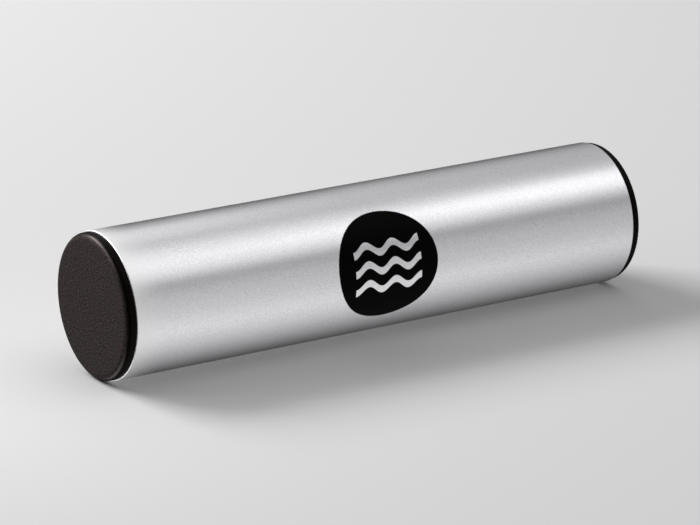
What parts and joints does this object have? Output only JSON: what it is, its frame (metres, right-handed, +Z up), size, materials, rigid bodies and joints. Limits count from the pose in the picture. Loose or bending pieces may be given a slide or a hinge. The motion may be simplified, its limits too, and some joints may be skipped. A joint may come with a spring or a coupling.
{
  "type": "ganza shaker",
  "caption": "Tube shaker: satin aluminium tube plugged at both ends by black rubber caps, with loose steel balls inside that fly from cap to cap and rattle when it is shaken.",
  "frame": {"origin": "on the table, at the middle of the bottom cap's face, with the shaker stood on its end", "axes": "+Z up along the tube towards the top cap"},
  "size_m": [0.05, 0.05, 0.2047],
  "materials": {
    "tube": "fine bead-blasted and clear anodised, satin",
    "cap": "moulded, matte face with a fine grain",
    "ball": "ground and tumbled, bright"
  },
  "bodies": {
    "shell": {"tube": "tube", "top_cap": "cap", "bottom_cap": "cap"},
    "steel_ball_01": {"steel_ball_01": "ball"},
    "steel_ball_02": {"steel_ball_02": "ball"},
    "steel_ball_03": {"steel_ball_03": "ball"},
    "steel_ball_04": {"steel_ball_04": "ball"},
    "steel_ball_05": {"steel_ball_05": "ball"},
    "steel_ball_06": {"steel_ball_06": "ball"},
    "steel_ball_07": {"steel_ball_07": "ball"},
    "steel_ball_08": {"steel_ball_08": "ball"},
    "steel_ball_09": {"steel_ball_09": "ball"},
    "steel_ball_10": {"steel_ball_10": "ball"},
    "steel_ball_11": {"steel_ball_11": "ball"},
    "steel_ball_12": {"steel_ball_12": "ball"},
    "steel_ball_13": {"steel_ball_13": "ball"},
    "steel_ball_14": {"steel_ball_14": "ball"},
    "steel_ball_15": {"steel_ball_15": "ball"},
    "steel_ball_16": {"steel_ball_16": "ball"},
    "steel_ball_17": {"steel_ball_17": "ball"},
    "steel_ball_18": {"steel_ball_18": "ball"},
    "steel_ball_19": {"steel_ball_19": "ball"},
    "steel_ball_20": {"steel_ball_20": "ball"},
    "steel_ball_21": {"steel_ball_21": "ball"},
    "steel_ball_22": {"steel_ball_22": "ball"},
    "steel_ball_23": {"steel_ball_23": "ball"},
    "steel_ball_24": {"steel_ball_24": "ball"},
    "steel_ball_25": {"steel_ball_25": "ball"},
    "steel_ball_26": {"steel_ball_26": "ball"},
    "steel_ball_27": {"steel_ball_27": "ball"},
    "steel_ball_28": {"steel_ball_28": "ball"},
    "steel_ball_29": {"steel_ball_29": "ball"},
    "steel_ball_30": {"steel_ball_30": "ball"},
    "steel_ball_31": {"steel_ball_31": "ball"}
  },
  "joints": [
    {"name": "steel_ball_01_flight", "type": "slide", "parent": "shell", "child": "steel_ball_01", "axis": [0, 0, 1], "range_m": [0, 0.1909]},
    {"name": "steel_ball_02_flight", "type": "slide", "parent": "shell", "child": "steel_ball_02", "axis": [0, 0, 1], "range_m": [0, 0.1909]},
    {"name": "steel_ball_03_flight", "type": "slide", "parent": "shell", "child": "steel_ball_03", "axis": [0, 0, 1], "range_m": [0, 0.1909]},
    {"name": "steel_ball_04_flight", "type": "slide", "parent": "shell", "child": "steel_ball_04", "axis": [0, 0, 1], "range_m": [0, 0.1909]},
    {"name": "steel_ball_05_flight", "type": "slide", "parent": "shell", "child": "steel_ball_05", "axis": [0, 0, 1], "range_m": [0, 0.1909]},
    {"name": "steel_ball_06_flight", "type": "slide", "parent": "shell", "child": "steel_ball_06", "axis": [0, 0, 1], "range_m": [0, 0.1909]},
    {"name": "steel_ball_07_flight", "type": "slide", "parent": "shell", "child": "steel_ball_07", "axis": [0, 0, 1], "range_m": [0, 0.1909]},
    {"name": "steel_ball_08_flight", "type": "slide", "parent": "shell", "child": "steel_ball_08", "axis": [0, 0, 1], "range_m": [0, 0.1909]},
    {"name": "steel_ball_09_flight", "type": "slide", "parent": "shell", "child": "steel_ball_09", "axis": [0, 0, 1], "range_m": [0, 0.1909]},
    {"name": "steel_ball_10_flight", "type": "slide", "parent": "shell", "child": "steel_ball_10", "axis": [0, 0, 1], "range_m": [0, 0.1909]},
    {"name": "steel_ball_11_flight", "type": "slide", "parent": "shell", "child": "steel_ball_11", "axis": [0, 0, 1], "range_m": [0, 0.1909]},
    {"name": "steel_ball_12_flight", "type": "slide", "parent": "shell", "child": "steel_ball_12", "axis": [0, 0, 1], "range_m": [0, 0.1909]},
    {"name": "steel_ball_13_flight", "type": "slide", "parent": "shell", "child": "steel_ball_13", "axis": [0, 0, 1], "range_m": [0, 0.1909]},
    {"name": "steel_ball_14_flight", "type": "slide", "parent": "shell", "child": "steel_ball_14", "axis": [0, 0, 1], "range_m": [0, 0.1909]},
    {"name": "steel_ball_15_flight", "type": "slide", "parent": "shell", "child": "steel_ball_15", "axis": [0, 0, 1], "range_m": [0, 0.1909]},
    {"name": "steel_ball_16_flight", "type": "slide", "parent": "shell", "child": "steel_ball_16", "axis": [0, 0, 1], "range_m": [0, 0.1909]},
    {"name": "steel_ball_17_flight", "type": "slide", "parent": "shell", "child": "steel_ball_17", "axis": [0, 0, 1], "range_m": [0, 0.1909]},
    {"name": "steel_ball_18_flight", "type": "slide", "parent": "shell", "child": "steel_ball_18", "axis": [0, 0, 1], "range_m": [0, 0.1909]},
    {"name": "steel_ball_19_flight", "type": "slide", "parent": "shell", "child": "steel_ball_19", "axis": [0, 0, 1], "range_m": [0, 0.1909]},
    {"name": "steel_ball_20_flight", "type": "slide", "parent": "shell", "child": "steel_ball_20", "axis": [0, 0, 1], "range_m": [0, 0.1909]},
    {"name": "steel_ball_21_flight", "type": "slide", "parent": "shell", "child": "steel_ball_21", "axis": [0, 0, 1], "range_m": [0, 0.1909]},
    {"name": "steel_ball_22_flight", "type": "slide", "parent": "shell", "child": "steel_ball_22", "axis": [0, 0, 1], "range_m": [0, 0.1909]},
    {"name": "steel_ball_23_flight", "type": "slide", "parent": "shell", "child": "steel_ball_23", "axis": [0, 0, 1], "range_m": [0, 0.1909]},
    {"name": "steel_ball_24_flight", "type": "slide", "parent": "shell", "child": "steel_ball_24", "axis": [0, 0, 1], "range_m": [0, 0.1909]},
    {"name": "steel_ball_25_flight", "type": "slide", "parent": "shell", "child": "steel_ball_25", "axis": [0, 0, 1], "range_m": [0, 0.1909]},
    {"name": "steel_ball_26_flight", "type": "slide", "parent": "shell", "child": "steel_ball_26", "axis": [0, 0, 1], "range_m": [0, 0.1909]},
    {"name": "steel_ball_27_flight", "type": "slide", "parent": "shell", "child": "steel_ball_27", "axis": [0, 0, 1], "range_m": [0, 0.1909]},
    {"name": "steel_ball_28_flight", "type": "slide", "parent": "shell", "child": "steel_ball_28", "axis": [0, 0, 1], "range_m": [0, 0.1909]},
    {"name": "steel_ball_29_flight", "type": "slide", "parent": "shell", "child": "steel_ball_29", "axis": [0, 0, 1], "range_m": [0, 0.1909]},
    {"name": "steel_ball_30_flight", "type": "slide", "parent": "shell", "child": "steel_ball_30", "axis": [0, 0, 1], "range_m": [0, 0.1909]},
    {"name": "steel_ball_31_flight", "type": "slide", "parent": "shell", "child": "steel_ball_31", "axis": [0, 0, 1], "range_m": [0, 0.1909]}
  ]
}
